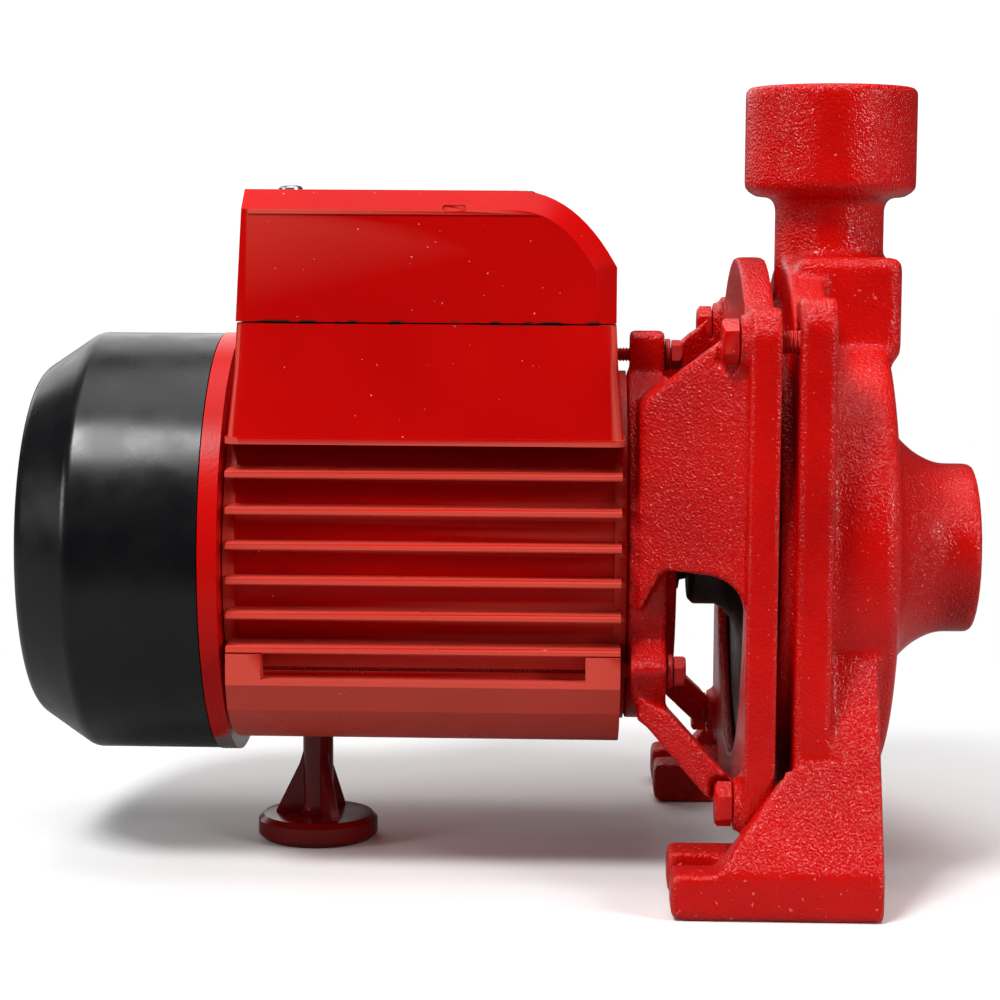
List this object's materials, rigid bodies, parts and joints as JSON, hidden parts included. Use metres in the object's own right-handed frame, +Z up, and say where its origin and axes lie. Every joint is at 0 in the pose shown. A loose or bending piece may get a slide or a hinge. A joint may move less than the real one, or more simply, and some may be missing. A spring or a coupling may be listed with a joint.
{
  "type": "centrifugal water pump",
  "caption": "Close-coupled centrifugal water pump: finned motor with terminal box and fan cover, open lantern bracket, cast volute with front suction and top discharge ports, slotted feet.",
  "frame": {"origin": "middle of the pump's footprint, on the floor the feet stand on", "axes": "+X along the shaft towards the suction port, +Y to the side away from the foot slot seen first, +Z up towards the discharge port"},
  "size_m": [0.251, 0.165, 0.205],
  "materials": {
    "cast_red": "glossy red enamel over a grained iron casting",
    "housing_red": "smooth red enamel over die-cast aluminium",
    "foot_red": "glossy moulded dark red plastic",
    "black_plastic": "satin moulded black plastic",
    "can_aluminium": "plain drawn can",
    "bright_steel": "bright steel",
    "laminations": "stacked electrical steel",
    "copper_wire": "varnished copper winding",
    "brass": "cast brass",
    "dark_iron": "dark cast iron",
    "seat_ceramic": "polished ceramic",
    "rubber": "black rubber"
  },
  "bodies": {
    "pump_body": {"motor_housing": "housing_red", "rear_end_shield": "cast_red", "fan_cover": "black_plastic", "terminal_box_cover": "housing_red", "terminal_block": "black_plastic", "capacitor": "can_aluminium", "cable_gland": "black_plastic", "stator_core": "laminations", "winding_front": "copper_wire", "winding_rear": "copper_wire", "front_bearing_outer": "bright_steel", "rear_bearing_outer": "bright_steel", "support_foot": "foot_red", "box_screw_1": "bright_steel", "box_screw_2": "bright_steel", "tie_bolt_1": "bright_steel", "tie_bolt_2": "bright_steel", "tie_bolt_3": "bright_steel", "tie_washer_1": "bright_steel", "tie_washer_2": "bright_steel", "tie_washer_3": "bright_steel", "lantern_bracket": "cast_red", "seal_plate": "dark_iron", "seal_seat": "seat_ceramic", "casing_o_ring": "rubber", "volute_casing": "cast_red", "priming_plug": "cast_red", "drain_plug": "cast_red", "casing_bolt_1": "cast_red", "casing_bolt_2": "cast_red", "casing_bolt_3": "cast_red", "casing_bolt_4": "cast_red"},
    "rotor": {"shaft": "bright_steel", "rotor_core": "laminations", "front_bearing_inner": "bright_steel", "rear_bearing_inner": "bright_steel", "cooling_fan": "black_plastic", "slinger": "rubber", "seal_head": "bright_steel", "seal_spring": "bright_steel", "impeller": "brass", "impeller_key": "bright_steel", "impeller_nut": "brass"}
  },
  "joints": [
    {"name": "rotor_spin", "type": "hinge", "parent": "pump_body", "child": "rotor", "pos_m": [0, 0, 0.082], "axis": [1, 0, 0], "continuous": true}
  ]
}
